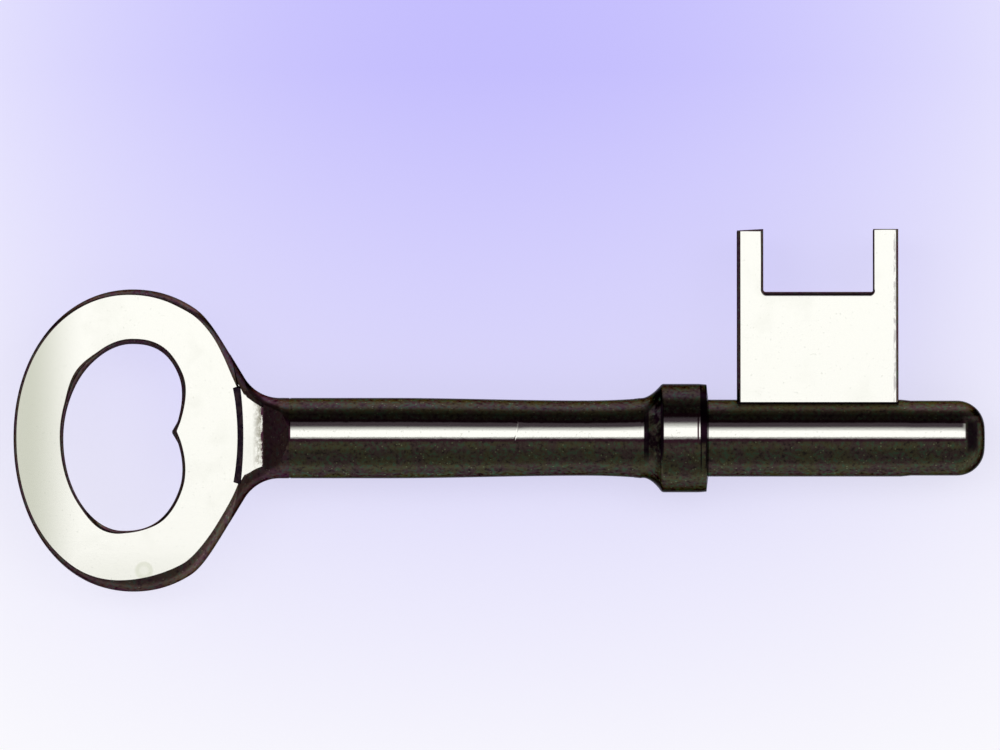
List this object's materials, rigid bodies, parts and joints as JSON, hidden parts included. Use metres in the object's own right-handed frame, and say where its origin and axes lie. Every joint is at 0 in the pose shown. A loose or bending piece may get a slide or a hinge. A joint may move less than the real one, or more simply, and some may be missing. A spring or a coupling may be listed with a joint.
{
  "type": "lever lock key",
  "caption": "Built-up key with a flat oval bow, round stem, stop collar and a notched plate bit let into the pin.",
  "frame": {"origin": "on the stem's axis, in the plane of the collar's front shoulder", "axes": "+X along the stem towards the nose, +Y towards the top of the bit, +Z out of the front faces of bow and bit"},
  "size_m": [0.0776, 0.029, 0.0086],
  "materials": {
    "ground_nickel": "flat ground faces under bright nickel plate",
    "polished_nickel": "polished round work under nickel plate, darkened by handling",
    "plated_braze": "dull brazing under nickel plate"
  },
  "bodies": {
    "root": {"bow": "ground_nickel", "neck": "polished_nickel", "stem": "polished_nickel", "collar": "polished_nickel", "bit": "ground_nickel", "bow_braze": "plated_braze", "neck_braze": "plated_braze", "collar_braze": "plated_braze", "bit_braze": "plated_braze"}
  },
  "joints": []
}
